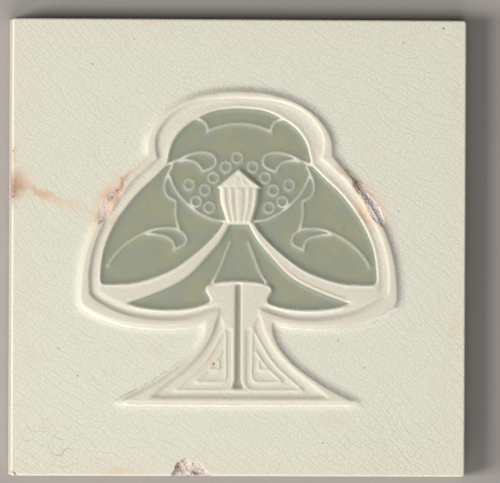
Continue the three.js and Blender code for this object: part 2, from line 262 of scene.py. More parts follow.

# The pooled glass: a share of what a wide blur lies above the surface, eased by (p + |p|) / 2 with
# a small radius in |p|. Then where the glass is thin over a crest, where shade is painted in the
# hollows, and close to the outline.
pooled = blurred(clay, POOL_REACH) - fired
surface = fired + POOL_SHARE * (pooled + np.hypot(pooled, POOL_EASE)) / 2
crest = smoothstep(-0.02 * MM, 0.25 * MM, fired - blurred(clay, CREST_REACH))
raised_share = risen(0.2 * MM, 0.8 * MM, RAISED_SOFTNESS)
thin = np.clip(0.5 * raised_share + 0.5 * crest, 0, 1)
# Painted shade: darker brown where the surface lies below a blur of the clay on the raised parts.
hollow_shade = smoothstep(0.03 * MM, 0.22 * MM, blurred(clay, HOLLOW_REACH) - fired) * raised_share * (1 - green)
# The painted shade of the hollows and of the ribbon's lower side, as one mask.
hollow_shade = np.maximum(0.6 * hollow_shade, np.maximum(shaded_seam, 0.5 * blurred(lower_side_shade, LOWER_SIDE_SOFTNESS)))
to_outline = blurred((clay > FACE + RELIEF_FOOT).astype(float), SKIRT_REACH)
skirt = smoothstep(0.03, 0.3, to_outline) * smoothstep(0.9, 0.6, to_outline)

# The losses. Knocks have broken small scoops out of the fired tile: two that meet at the lower
# edge, one at a corner and two down each flank of the outer band. Glaze has flaked off a little
# further than each break reaches, and the rough pinkish clay shows.
BREAKS = (
    ((-17.9, -77.0, 9.6), (4.2, 6.7, 1.9), 0, 1.08),
    ((-14.0, -77.0, 9.6), (4.2, 4.6, 1.7), 0, 1.1),
    ((-76.2, -76.2, 9.5), (2.2, 2.2, 1.6), 0, 1.1),
    ((-42.8, 17.4, 10.8), (3.0, 1.1, 0.65), 62, 1.1),
    ((-45.6, 11.8, 10.8), (3.8, 1.4, 0.65), 66, 1.2),
    ((40.8, 19.2, 10.8), (3.2, 1.4, 0.5), -52, 1.2),
    ((45.4, 12.4, 10.8), (5.0, 1.7, 0.55), -58, 1.3),
)
FLAKE_DEPTH = 0.1 * MM
BREAK_LEDGES = 0.07 * MM
BREAK_GRAIN = 0.03 * MM
BREAK_EDGE = 0.1 * MM

# Each break is (middle, reach, turn, spread): a bowl of depth z - r sqrt(1 - s) within the oval's
# share s, and a flake down to the clay out to the spread.
ragged = mottle(0.9 * MM, 3) * 0.13 + mottle(0.3 * MM, 4) * 0.08
ledges = mottle(0.7 * MM, 5) * BREAK_LEDGES + mottle(0.2 * MM, 6) * BREAK_GRAIN
broken = np.zeros_like(clay)
for middle, reach, turn, spread in BREAKS:
    share = oval_share(middle, reach, turn) + ragged
    bowl = np.where(share < 1, (middle[2] - reach[2] * np.sqrt(np.clip(1 - share, 0, 1))) * MM, np.inf)
    flaked = share < spread
    surface = np.where(flaked, np.minimum(surface - FLAKE_DEPTH, bowl) + ledges, surface)
    broken = np.maximum(broken, flaked)
broken = blurred(broken, BREAK_EDGE)

# The tile's skin. Its face is laid out as right triangles that are halved wherever the relief or
# a glaze's edge needs it; its rounded edge, its four sides and its keyed back close it.
SPLITS = 20
HEIGHT_ALLOWANCE = 0.012 * MM
GREEN_ALLOWANCE = 0.3
BREAK_ALLOWANCE = 0.35
THIN_ALLOWANCE = 0.5
RIM_SPACING = 16
CORNER_CELLS = 6
EDGE_ROWS = 6
ARRIS = 0.4 * MM
GROOVE_COUNT = 8
GROOVE_WIDTH = 8 * MM
GROOVE_PITCH = 14 * MM
GROOVE_LENGTH = 124 * MM
GROOVE_DEPTH = 1.2 * MM
GROOVE_SOFTNESS = 0.35 * MM
BACK_HALF = HALF_SIDE - ARRIS
BACK_CORNER = CORNER_RADIUS - ARRIS
BACK_EDGE_LINES = 7
BACK_CORNER_LINES = 5
BACK_WIDE_LINES = 13


def halved(corners):
    """Each right triangle's two halves, split from its square corner to its long side's middle."""
    a, b, c = corners
    middle = (a + b) // 2
    return np.concatenate([c, b], 1), np.concatenate([a, c], 1), np.concatenate([middle, middle], 1)


def adaptive_triangles(fields, needed):
    """Right triangles over the grid. A triangle is halved while, at the middle of its long side, a
    field is further than its allowance from the straight line, or the point is needed, or one of
    the smaller triangles there is halved."""
    n = GRID_CELLS
    levels = [(np.array([[0, n], [0, n]]), np.array([[n, 0], [n, 0]]), np.array([[n, 0], [0, n]]))]
    for _ in range(SPLITS - 1):
        levels.append(halved(levels[-1]))
    error = np.where(needed, np.inf, 0.0)
    for level in range(SPLITS - 1, -1, -1):
        a, b, c = levels[level]
        middle = (a + b) // 2
        own = np.zeros(a.shape[1])
        for field, allowance in fields:
            bend = (field[a[1], a[0]] + field[b[1], b[0]]) / 2 - field[middle[1], middle[0]]
            own = np.maximum(own, np.abs(bend) / allowance)
        if level < SPLITS - 1:
            for end in (a, b):
                quarter = (end + c) // 2
                own = np.maximum(own, error[quarter[1], quarter[0]])
        np.maximum.at(error, (middle[1], middle[0]), own)
    current, finished = levels[0], []
    for _ in range(SPLITS):
        middle = (current[0] + current[1]) // 2
        split = error[middle[1], middle[0]] > 1
        finished.append([corner[:, ~split] for corner in current])
        current = halved([corner[:, split] for corner in current])
    finished.append(current)
    a, b, c = (np.concatenate([part[k] for part in finished], 1) for k in range(3))
    return np.stack([corner[1] * (n + 1) + corner[0] for corner in (a, c, b)], 1)


def rounded(places, reach, radius):
    """Pulls a square's corners in to a radius: in a corner's own square (u, v) goes to
    (u sqrt(1 - v²/2), v sqrt(1 - u²/2))."""
    beyond = np.clip((np.abs(places) - (reach - radius)) / radius, 0, 1)
    pulled = beyond * np.sqrt(1 - beyond[:, ::-1] ** 2 / 2)
    inner = np.minimum(np.abs(places), reach - radius)
    return np.sign(places) * (inner + radius * pulled), np.sign(places) * pulled


def upright(slope_across, slope_along, sign):
    """Unit normals of a height field: its two slopes, negated, and 1, over their length."""
    normals = np.stack([-slope_across, -slope_along, np.ones_like(slope_across)], -1) * sign
    return normals / np.linalg.norm(normals, axis=-1, keepdims=True)


def sheet(flat, heights, normals, triangles, reach, radius):
    """A sheet over the square from -1 to 1, scaled to its reach with its corners rounded. Its rim
    is its border points in the order of their turn round it, from 0 to 4."""
    places, outward = rounded(flat * reach, reach, radius)
    u, v = flat.T
    borders = (
        ((v == -1) & (u < 1), u),
        ((u == 1) & (v < 1), v),
        ((v == 1) & (u > -1), -u),
        ((u == -1) & (v > -1), -v),
    )
    turn = np.full(len(flat), -1.0)
    for number, (on_border, way) in enumerate(borders):
        turn = np.where(on_border, number + (way + 1) / 2, turn)
    rim = np.flatnonzero(turn >= 0)
    rim = rim[np.argsort(turn[rim])]
    facing = outward[rim] / np.linalg.norm(outward[rim], axis=1)[:, None]
    return {
        "places": np.column_stack([places, heights]),
        "normals": normals,
        "triangles": triangles,
        "rim": rim,
        "turn": turn[rim],
        "facing": facing,
    }


def edge_rows(part, radius, sign):
    """Rows of points round a sheet's rim on a quarter circle: out by r sin(t), and down, or up, by
    r (1 - cos(t)), each with the circle's own normal."""
    start, facing = part["places"][part["rim"]], part["facing"]
    places, normals, faces = [part["places"]], [part["normals"]], [part["triangles"]]
    upper, inner, around = part["rim"], len(part["places"]), len(part["rim"])
    for row, angle in enumerate(np.linspace(0, math.pi / 2, EDGE_ROWS + 1)[1:]):
        out, drop = radius * math.sin(angle), radius * (1 - math.cos(angle))
        places.append(np.column_stack([start[:, :2] + facing * out, start[:, 2] - sign * drop]))
        level = np.full(around, sign * math.cos(angle))
        normals.append(np.column_stack([facing * math.sin(angle), level]))
        lower = inner + row * around + np.arange(around)
        following, under = np.roll(upper, -1), np.roll(lower, -1)
        below, above = (upper, lower, under), (upper, under, following)
        faces.append(np.concatenate([np.stack(below, 1), np.stack(above, 1)])[:, ::sign])
        upper = lower
    return np.concatenate(places), np.concatenate(normals), np.concatenate(faces), upper


def zipped(upper, upper_turn, lower, lower_turn):
    """Triangles between two rims of unlike counts: each step along one rim joins the point of the
    other that the same turn has reached."""
    upper_next, lower_next = np.append(upper_turn[1:], 4), np.append(lower_turn[1:], 4)
    reached = np.searchsorted(lower_next, upper_next, "left")
    down = np.stack([upper, lower[reached], np.roll(upper, -1)], 1)
    reached = np.searchsorted(upper_next, lower_next, "right") % len(upper)
    over = np.stack([upper[reached], lower, np.roll(lower, -1)], 1)
    return np.concatenate([down, over])


def back_lines(edges, reach, radius):
    """Where the back's grid lines lie: close across soft groove edges and round corners, else wide."""
    soft = edges[:, None] + GROOVE_SOFTNESS * np.linspace(-1, 1, BACK_EDGE_LINES)
    corner = reach - radius * np.linspace(0, 1, BACK_CORNER_LINES)
    wide = np.linspace(-reach, reach, BACK_WIDE_LINES)
    return np.unique(np.round(np.concatenate([soft.ravel(), corner, -corner, wide]) / reach, 6))


def ordered_grid(rows, columns):
    """Two triangles for each cell of a grid of points numbered row by row."""
    first = (np.arange(rows - 1)[:, None] * columns + np.arange(columns - 1)).ravel()
    low, high = (first, first + 1, first + columns + 1), (first, first + columns + 1, first + columns)
    return np.concatenate([np.stack(low, 1), np.stack(high, 1)])


# The face, with points along its rim at even steps and at every cell round a corner.
grid_line = np.arange(GRID_CELLS + 1)
row_number, column_number = np.meshgrid(grid_line, grid_line, indexing="ij")
lesser, greater = np.minimum(row_number, column_number), np.maximum(row_number, column_number)
on_rim = (lesser == 0) | (greater == GRID_CELLS)
spaced = (row_number % RIM_SPACING == 0) & (column_number % RIM_SPACING == 0)
to_corner = [np.minimum(number, GRID_CELLS - number) for number in (row_number, column_number)]
near_corner = np.maximum(*to_corner) < CORNER_CELLS
glazes_and_painted_light = (
    ("green", green, GREEN_ALLOWANCE),
    ("deep", deep, THIN_ALLOWANCE),
    ("stem", stem, GREEN_ALLOWANCE),
    ("thin", thin, THIN_ALLOWANCE),
    ("skirt", skirt, THIN_ALLOWANCE),
    ("broken", broken, BREAK_ALLOWANCE),
    ("hollow_shade", hollow_shade, THIN_ALLOWANCE),
    ("painted_lip_light", painted_lip_light, THIN_ALLOWANCE),
)
shapes = [(surface, HEIGHT_ALLOWANCE)] + [(field, allowance) for _, field, allowance in glazes_and_painted_light]
triangles = adaptive_triangles(shapes, on_rim & (spaced | near_corner))
used, corners = np.unique(triangles, return_inverse=True)
slope_along, slope_across = np.gradient(surface, CELL)
face_normals = upright(slope_across, slope_along, 1).reshape(-1, 3)[used]
flat = np.stack([used % (GRID_CELLS + 1), used // (GRID_CELLS + 1)], 1) / GRID_CELLS * 2 - 1
face_heights, face_triangles = surface.ravel()[used], corners.reshape(-1, 3)
face = sheet(flat, face_heights, face_normals, face_triangles, SHEET_HALF, CORNER_RADIUS - EDGE_ROUND)
face_places, face_normals, face_faces, face_rim = edge_rows(face, EDGE_ROUND, 1)

# The back: eight soft-edged keying grooves inside a plain border.
middles = (np.arange(GROOVE_COUNT) - (GROOVE_COUNT - 1) / 2) * GROOVE_PITCH
sides = np.concatenate([middles - GROOVE_WIDTH / 2, middles + GROOVE_WIDTH / 2])
ends = np.array([-GROOVE_LENGTH / 2, GROOVE_LENGTH / 2])
back_u = back_lines(ends, BACK_HALF, BACK_CORNER)
back_v = back_lines(sides, BACK_HALF, BACK_CORNER)
back_across, back_along = np.meshgrid(back_u * BACK_HALF, back_v * BACK_HALF)
from_middle = np.abs(back_along[..., None] - middles).min(-1)
sunk = smoothstep(GROOVE_SOFTNESS, -GROOVE_SOFTNESS, from_middle - GROOVE_WIDTH / 2)
sunk = sunk * smoothstep(GROOVE_SOFTNESS, -GROOVE_SOFTNESS, np.abs(back_across) - GROOVE_LENGTH / 2)
keyed = GROOVE_DEPTH * sunk
slope_along, slope_across = np.gradient(keyed, back_v * BACK_HALF, back_u * BACK_HALF)
back_normals = upright(slope_across, slope_along, -1).reshape(-1, 3)
flat = np.stack(np.meshgrid(back_u, back_v), -1).reshape(-1, 2)
under = ordered_grid(len(back_v), len(back_u))[:, ::-1]
back = sheet(flat, keyed.ravel(), back_normals, under, BACK_HALF, BACK_CORNER)
back_places, back_normals, back_faces, back_rim = edge_rows(back, ARRIS, -1)

# Face, back and the sides between them as one closed mesh, with each point's own normal, and
# with the glasses, the painted shade and the painted highlights as attributes that the rounded
# edge carries on from the rim.
points = np.concatenate([face_places, back_places])
normals = np.concatenate([face_normals, back_normals])
wall = zipped(face_rim, face["turn"], back_rim + len(face_places), back["turn"])
faces = np.concatenate([face_faces, back_faces + len(face_places), wall])

mesh = bpy.data.meshes.new("glazed_tile")
mesh.vertices.add(len(points))
mesh.vertices.foreach_set("co", points.astype(np.float32).ravel())
mesh.loops.add(faces.size)
mesh.loops.foreach_set("vertex_index", faces.astype(np.int32).ravel())
mesh.polygons.add(len(faces))
mesh.polygons.foreach_set("loop_start", np.arange(0, faces.size, 3, dtype=np.int32))
mesh.polygons.foreach_set("use_smooth", np.ones(len(faces), bool))
mesh.update()
mesh.validate()
mesh.normals_split_custom_set_from_vertices(normals.tolist())

for name, field, _ in glazes_and_painted_light:
    values = np.zeros(len(points), np.float32)
    values[:len(used)] = field.ravel()[used]
    values[len(used):len(face_places)] = np.tile(values[face["rim"]], EDGE_ROWS)
    attribute = mesh.attributes.new(name, "FLOAT", "POINT")
    attribute.data.foreach_set("value", values)

tile = bpy.data.objects.new("glazed_tile", mesh)
bpy.context.scene.collection.objects.link(tile)
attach(tile, "root")
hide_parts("tile")


# The finish. Clear celadon glass over cream clay, with a green glass in the fields, a network of
# fine cracks that has taken up dirt, brown stains beside the losses, and bare clay in the losses
# and behind. The glass ran down the tile's sides and stops a little short of the bed.
class Socket:
    """A shader socket that Python's operators work on, each by its Math node."""

    def __init__(self, tree, link=None):
        self.tree = tree
        self.link = link

    def node(self, kind, settings=None, output=0, inputs=None):
        """Adds a node: its type, its settings, the wanted output, and its inputs' values or links."""
        made = self.tree.nodes.new(kind)
        for name, value in (settings or {}).items():
            setattr(made, name, value)
        for name, value in (inputs or {}).items():
            if isinstance(value, Socket):
                self.tree.links.new(value.link, made.inputs[name])
            else:
                made.inputs[name].default_value = value
        return Socket(self.tree, made.outputs[output])

    def maths(self, operation, *others):
        """The Math node of an operation on this value and others."""
        values = dict(enumerate((self, *others)))
        return self.node("ShaderNodeMath", {"operation": operation}, inputs=values)

    def __add__(self, other):
        return self.maths("ADD", other)

    def __sub__(self, other):
        return self.maths("SUBTRACT", other)

    def __mul__(self, other):
        return self.maths("MULTIPLY", other)

    def __neg__(self):
        return self.maths("MULTIPLY", -1.0)

    def __rsub__(self, other):
        ends = {0: other, 1: self}
        return self.node("ShaderNodeMath", {"operation": "SUBTRACT"}, inputs=ends)

    __radd__ = __add__
    __rmul__ = __mul__

    def larger(self, other):
        return self.maths("MAXIMUM", other)

    def part(self, number):
        """The x, y or z of this place."""
        return self.node("ShaderNodeSeparateXYZ", None, number, {"Vector": self})

    def eased(self, low, high):
        """0 at low and 1 at high, eased between them."""
        ends = {"Value": self, "From Min": low, "From Max": high}
        return self.node("ShaderNodeMapRange", {"interpolation_type": "SMOOTHSTEP"}, inputs=ends)

    def tinted(self, other, share):
        """This colour with another laid over it by a share or a mask."""
        return self.node("ShaderNodeMix", {"data_type": "RGBA"}, 2, {0: share, 6: self, 7: other})


def screen(red, green_level, blue):
    """A colour seen on a screen, from 0 to 255, as the shader's linear values."""
    level = np.array([red, green_level, blue]) / 255
    linear = np.where(level <= 0.04045, level / 12.92, ((level + 0.055) / 1.055) ** 2.4)
    return (*linear.tolist(), 1.0)


finish = bpy.data.materials.new("celadon_glaze")
finish.use_nodes = True
finish.node_tree.nodes.clear()
tree = Socket(finish.node_tree)
place = tree.node("ShaderNodeTexCoord", output="Object")
x, y, z = (place.part(number) for number in range(3))
green_glass, deep_glass, stem_glass, thin_glass, outline, loss, hollow_shade_share, lip_light_share = (
    tree.node("ShaderNodeAttribute", {"attribute_name": name}, "Fac") for name, _, _ in glazes_and_painted_light
)


def clouds(size, detail=2.0, where=place, output=0):
    """Soft random clouds of about a size in metres, from 0 to 1."""
    inputs = {"Vector": where, "Scale": 1 / size, "Detail": detail, "Roughness": 0.55}
    return tree.node("ShaderNodeTexNoise", {"noise_dimensions": "3D"}, output, inputs)


def drift(size, reach, detail=2.0):
    """Clouds of a size about zero, by up to half a reach each way."""
    return (clouds(size, detail) - 0.5) * reach


def shifted(where, size, reach):
    """Places moved by soft random clouds of a size, by up to half a reach each way."""
    steps = {0: clouds(size, 1.0, where, 1), 1: (0.5,) * 3}
    centred = tree.node("ShaderNodeVectorMath", {"operation": "SUBTRACT"}, 0, steps)
    moved = {0: centred, 1: (reach,) * 3, 2: where}
    return tree.node("ShaderNodeVectorMath", {"operation": "MULTIPLY_ADD"}, 0, moved)


def chance(first, second=0.0):
    """A random number from 0 to 1 for each pair of whole numbers."""
    pair = tree.node("ShaderNodeCombineXYZ", inputs={"X": first, "Y": second})
    return tree.node("ShaderNodeTexWhiteNoise", {"noise_dimensions": "2D"}, 0, {"Vector": pair})


def to_line(places, size, jitter):
    """How far, in metres, a place is from the nearest of the lines that stand a size apart, each
    moved from its whole number by a random jitter."""
    return (places - places.maths("ROUND") - jitter).maths("ABSOLUTE") * size


def mixed(first, second, share):
    """A colour a share of the way from one to another."""
    return tree.node("ShaderNodeMix", {"data_type": "RGBA"}, 2, {0: share, 6: first, 7: second})


# The crackle: long courses that cross the tile and bend, and between them small drawn-out plates.
# A course is a line where the lean times the place, plus the bend times x² y, is a whole number of
# spacings. Both patterns lean with z too, so that they run on down the sides.
COURSE_SPACING = 2.6 * MM
COURSE_LEAN = (0.55, 0.82, 0.7)
COURSE_BEND = -34.0
COURSE_JITTER = 0.7
PLATE_SIZE = 1.4 * MM
PLATE_STRETCH = 1.5
PLATE_TURN = math.radians(-38)
PLATE_LEAN = (0.9, 0.7)
PLATE_JITTER = 0.8
CRACK_WIDTH = 0.13 * MM
CRACK_SHOULDER = 0.4 * MM
CRACK_DEPTH = 0.036 * MM

wander = drift(26 * MM, 12 * MM) + drift(6 * MM, 3 * MM, 0.0)
straight = x * COURSE_LEAN[0] + y * COURSE_LEAN[1] + z * COURSE_LEAN[2]
course = (straight + x * x * y * COURSE_BEND + wander) * (1 / COURSE_SPACING)
course_jitter = (chance(course.maths("ROUND")) - 0.5) * COURSE_JITTER
course_way = to_line(course, COURSE_SPACING, course_jitter)
course_depth = clouds(6 * MM).eased(0.3, 0.55) * 0.75 + 0.25
leaned = tree.node("ShaderNodeCombineXYZ", inputs={
    "X": x + z * PLATE_LEAN[0], "Y": y + z * PLATE_LEAN[1], "Z": z,
})
plate_place = tree.node("ShaderNodeMapping", {"vector_type": "TEXTURE"}, inputs={
    "Vector": shifted(leaned, 8 * MM, 4 * MM),
    "Rotation": (0, 0, PLATE_TURN),
    "Scale": (PLATE_STRETCH * PLATE_SIZE, PLATE_SIZE, PLATE_SIZE),
})
plate_kind = {"voronoi_dimensions": "2D", "feature": "DISTANCE_TO_EDGE"}
plates = tree.node("ShaderNodeTexVoronoi", plate_kind, 0, {
    "Vector": plate_place, "Scale": 1.0, "Randomness": PLATE_JITTER,
})
plate_way = plates * PLATE_SIZE
plate_depth = clouds(2.2 * MM).eased(0.3, 0.6) * 0.5 + 0.3


def cracked(width):
    """How deep the cracks' grooves are: 1 on a crack's line, and 0 beyond a width from it."""
    course_groove = (1 - course_way.eased(0.0, width)) * course_depth
    return course_groove.larger((1 - plate_way.eased(0.0, width)) * plate_depth)


fine_line, shoulder = cracked(CRACK_WIDTH), cracked(CRACK_SHOULDER)

# Short cracks that stand square to the outline, counted by the turn round the head's middle, or
# round a point beside the foot, and few in the lower left. With them, a faint darker line along the
# foot's left flank.
HEAD_MIDDLE = 4 * MM
HEAD_RADIUS = 50 * MM
FOOT_CURVE = (43.6 * MM, -22 * MM)
FOOT_RADIUS = 30 * MM
FOOT_TOP = -25 * MM
TICK_SPACING = 0.85 * MM
TICK_WIDTH = 0.2 * MM

head_turn = (y - HEAD_MIDDLE).maths("ARCTAN2", x) * (HEAD_RADIUS / TICK_SPACING)
foot_turn = (y - FOOT_CURVE[1]).maths("ARCTAN2", x.maths("ABSOLUTE") - FOOT_CURVE[0])
foot_turn = foot_turn * (FOOT_RADIUS / TICK_SPACING)
on_foot = y.maths("LESS_THAN", FOOT_TOP)
tick_turn = head_turn + (foot_turn - head_turn) * on_foot + drift(3 * MM, 2.0)
tick_number = tick_turn.maths("ROUND")
tick_way = to_line(tick_turn, TICK_SPACING, (chance(tick_number) - 0.5) * 0.5)
tick_reach = chance(tick_number, 5.0)
tick = (1 - tick_way.eased(0.0, TICK_WIDTH)) * (outline + tick_reach * 0.7).eased(0.9, 1.3)
off_lower_left = (y * 0.9 + x * 0.5).eased(-34 * MM, -14 * MM).larger(y.maths("LESS_THAN", -29 * MM))
tick_patches = (clouds(8 * MM).eased(0.36, 0.56) * 0.8 + 0.2) * (off_lower_left * 0.75 + 0.25)
tick = tick * y.eased(-51.8 * MM, -51 * MM) * tick_patches
foot_line = outline.eased(0.1, 0.45) * (1 - outline.eased(0.45, 0.8)) * (1 - x.eased(-22 * MM, -12 * MM))
foot_line = foot_line * y.eased(-51.6 * MM, -50.4 * MM) * (1 - y.eased(-42 * MM, -32 * MM))
foot_line = foot_line * clouds(2 * MM).eased(0.3, 0.6)

# Stains and pinholes. Each stain is (colour, strength, spot, reach, turn) and each pinhole is
# (x, y, reach), in millimetres and degrees. Stains have frayed edges, and pinholes round ones.
FAINT_STAIN = screen(226, 200, 172)
TAN_STAIN = screen(216, 176, 144)
BROWN_STAIN = screen(172, 136, 118)
GLAZE_STAINS = (
    (FAINT_STAIN, 0.30, (-69.7, -35.7), (3.5, 6.0), 0),
    (FAINT_STAIN, 0.28, (-63.0, -60.0), (4.5, 3.5), 0),
    (FAINT_STAIN, 0.20, (-28.0, -34.7), (4.5, 2.4), 0),
    (FAINT_STAIN, 0.50, (-40.0, -75.5), (13.0, 2.6), 0),
    (FAINT_STAIN, 0.25, (32.0, -57.5), (8.0, 5.0), 0),
    (FAINT_STAIN, 0.35, (72.5, -27.0), (3.0, 9.0), 0),
    (FAINT_STAIN, 0.25, (66.0, -46.0), (4.0, 6.0), 20),
    (FAINT_STAIN, 0.40, (-29.7, 75.0), (7.0, 2.2), 0),
    (FAINT_STAIN, 0.25, (44.0, 34.0), (4.0, 3.0), 0),
    (FAINT_STAIN, 0.30, (73.0, 50.0), (2.5, 9.0), 0),
    (FAINT_STAIN, 0.35, (-9.0, -36.5), (2.6, 4.0), 0),
    (FAINT_STAIN, 0.50, (-60.5, 15.2), (16.0, 3.6), -16),
    (TAN_STAIN, 0.75, (-66.5, 18.4), (10.5, 2.6), -20),
    (TAN_STAIN, 0.85, (-76.4, 21.0), (8.8, 9.5), -15),
    (TAN_STAIN, 0.45, (-76.0, 31.0), (2.0, 5.0), 0),
    (FAINT_STAIN, 0.95, (-44.0, 15.8), (15.0, 4.6), 58),
    (TAN_STAIN, 0.60, (-43.2, 15.8), (13.0, 2.8), 60),
    (TAN_STAIN, 0.50, (-41.5, 8.5), (6.5, 2.2), 62),
    (FAINT_STAIN, 0.80, (44.8, 14.5), (15.0, 6.0), -57),
    (TAN_STAIN, 0.60, (35.5, 25.0), (5.5, 1.8), -48),
    (TAN_STAIN, 0.80, (42.0, 10.5), (9.0, 2.2), -58),
)
CLAY_STAINS = (
    (BROWN_STAIN, 1.00, (-76.8, 19.2), (5.6, 7.4), -12),
    (BROWN_STAIN, 0.85, (-39.2, 20.6), (8.0, 1.9), 54),
    (BROWN_STAIN, 0.80, (39.4, 20.9), (4.6, 2.2), -52),
    (TAN_STAIN, 0.45, (-34.5, 26.5), (6.0, 1.8), 45),
)
PINHOLE_DIRT = screen(70, 55, 45)
PINHOLES = (
    (68.4, 73.6, 0.45), (55.0, 68.5, 0.3), (-49.4, 61.0, 0.35), (-35.5, 69.5, 0.25), (-53.9, -42.8, 0.35),
    (-60.4, -33.6, 0.28), (-8.6, -38.7, 0.5), (33.4, -30.7, 0.3), (42.3, -39.8, 0.3), (53.5, 12.5, 0.3),
    (39.1, 22.1, 0.5), (35.1, 6.6, 0.3), (28.4, -65.0, 0.35), (-38.5, 35.0, 0.25), (66.5, 30.5, 0.25),
    (-41.0, 19.0, 0.4), (-42.7, 16.6, 0.45), (-46.3, 8.6, 0.5), (-75.8, 16.8, 0.4), (-75.8, 32.0, 0.3),
)
STAIN_HEIGHT = 8 * MM

frayed = shifted(shifted(place, 5 * MM, 5 * MM), 0.9 * MM, 1.3 * MM)


def blotch(spot, reach, turn=0.0, where=frayed, middle=0.0):
    """1 in the middle of an oval blotch on the face, eased to 0 at its reach."""
    local = tree.node("ShaderNodeMapping", {"vector_type": "TEXTURE"}, inputs={
        "Vector": where,
        "Location": (spot[0] * MM, spot[1] * MM, FACE),
        "Rotation": (0, 0, math.radians(turn)),
        "Scale": (reach[0] * MM, reach[1] * MM, STAIN_HEIGHT),
    })
    distance = tree.node("ShaderNodeVectorMath", {"operation": "LENGTH"}, 1, {0: local})
    return 1 - distance.eased(middle, 1.0)


def stained(colour, stains):
    """A colour with stains over it, which the green glass keeps off."""
    for stain, strength, spot, reach, turn in stains:
        colour = colour.tinted(stain, blotch(spot, reach, turn) * strength * (1 - green_glass))
    return colour


# Bare clay: in the losses, behind, and low on the sides where the glass ends. It is painted paler
# in the right-hand losses, to lift the shade that falls in them, and it is pitted.
BARE_CLAY = screen(210, 195, 184)
LIFTED_CLAY = screen(240, 231, 226)
PITTED_CLAY = screen(165, 143, 136)
GLAZE_END = (2.9 * MM, 3.6 * MM)
GLAZE_END_DRIFT = 4 * MM

from_centre = x.maths("ABSOLUTE").larger(y.maths("ABSOLUTE"))
glazed = (z + clouds(7 * MM) * GLAZE_END_DRIFT).eased(*GLAZE_END)
behind = (1 - z.eased(3 * MM, 6 * MM)) * (1 - from_centre.eased(74.5 * MM, 75.5 * MM))
bare = (1 - glazed).larger(loss).larger(behind)
# Painted light: paler clay in the right-hand losses lifts the shade there.
right_loss_lift = x.eased(20 * MM, 38 * MM) * z.eased(6 * MM, 9 * MM)
pits = clouds(0.6 * MM, 3.0).eased(0.5, 0.68)
clay_colour = mixed(BARE_CLAY, LIFTED_CLAY, right_loss_lift).tinted(PITTED_CLAY, pits * 0.6)

# The glasses' colours, warmer towards the edges, yellower and pinker where the glass is thin, and
# mottled with olive in the fields. Painted shade in the hollows and painted highlights on the lips
# go on under the green glasses; dirt, stains, clay and pinholes lie over them in that order.
CELADON = screen(222, 221, 205)
WARM_CELADON = screen(223, 219, 202)
THIN_GLAZE = screen(216, 210, 192)
UPPER_GLAZE = screen(224, 217, 199)
PINK_GLAZE = screen(219, 205, 189)
# Painted highlight colour for the lips and the right-falling outer flanks.
LIP_HIGHLIGHT = screen(247, 243, 231)
GREEN = screen(154, 157, 138)
OLIVE = screen(161, 161, 130)
DEEP_GREEN = screen(144, 150, 136)
STEM_GLAZE = screen(151, 148, 124)
CRACK_DIRT = screen(178, 176, 154)
# Painted shade colour for the hollows and the ribbon's lower side.
HOLLOW_SHADE = screen(180, 160, 140)
TICK_DIRT = screen(120, 112, 92)

near_edge = (from_centre + clouds(14 * MM) * (16 * MM)).eased(68 * MM, 82 * MM)
warm_share = (clouds(18 * MM).eased(0.35, 0.75) * 0.3).larger(near_edge * 0.8)
glaze_colour = mixed(CELADON, WARM_CELADON, warm_share)
pink_share = clouds(5 * MM).eased(0.42, 0.66) * 0.55
thin_colour = mixed(THIN_GLAZE, UPPER_GLAZE, y.eased(0.0, 14 * MM)).tinted(PINK_GLAZE, pink_share)
olive_share = clouds(9 * MM, 4.0).eased(0.4, 0.64) * 0.9
deep_share = (deep_glass * 0.6).larger(clouds(1.1 * MM).eased(0.52, 0.75) * 0.4)
field_colour = mixed(GREEN, OLIVE, olive_share).tinted(DEEP_GREEN, deep_share)
lower_right, lower_left = blotch((54.0, -68.0), (36.0, 20.0)), blotch((-62.0, -68.0), (22.0, 18.0))
crack_share = fine_line * (lower_right.larger(lower_left) * 0.4 + 0.35)
crack_share = crack_share * (1 - green_glass * 0.6) * (1 - thin_glass * 0.5)
tick_share = (tick * 0.4 * (1 - lip_light_share * 0.6)).larger(foot_line * 0.45)

colour = glaze_colour.tinted(thin_colour, thin_glass)
# Painted shade in the hollows and along the ribbon's lower side.
colour = colour.tinted(HOLLOW_SHADE, hollow_shade_share * 0.75)
# Painted highlight on the lips and the right-falling outer flanks.
colour = colour.tinted(LIP_HIGHLIGHT, lip_light_share)
colour = colour.tinted(field_colour, green_glass)
colour = colour.tinted(STEM_GLAZE, stem_glass * 0.9)
colour = colour.tinted(CRACK_DIRT, crack_share)
colour = colour.tinted(TICK_DIRT, tick_share)
colour = stained(colour, GLAZE_STAINS)
colour = colour.tinted(clay_colour, bare)
colour = stained(colour, CLAY_STAINS)
for hole_x, hole_y, reach in PINHOLES:
    hole = blotch((hole_x, hole_y), (reach, reach), where=place, middle=0.4)
    colour = colour.tinted(PINHOLE_DIRT, hole * 0.85)

crack_relief = (1 - bare) * (1 - thin_glass * 0.5) * (1 - green_glass * 0.6) * -shoulder
clay_grain = bare * clouds(0.5 * MM, 3.0) * 2.5
bump = tree.node("ShaderNodeBump", None, 0, {
    "Strength": 1.0, "Distance": CRACK_DEPTH, "Height": crack_relief + clay_grain,
})
principled = tree.node("ShaderNodeBsdfPrincipled", None, 0, {
    "Base Color": colour,
    "Roughness": bare * 0.35 + 0.4,
    "Subsurface Weight": 0.5,
    "Subsurface Radius": (1.0, 0.9, 0.75),
    "Subsurface Scale": 0.6 * MM,
    "Specular IOR Level": 0.12,
    "Coat Weight": (1 - bare) * 0.8,
    "Coat Roughness": 0.2,
    "Normal": bump,
})
output = finish.node_tree.nodes.new("ShaderNodeOutputMaterial")
finish.node_tree.links.new(principled.link, output.inputs["Surface"])
mesh.materials.append(finish)

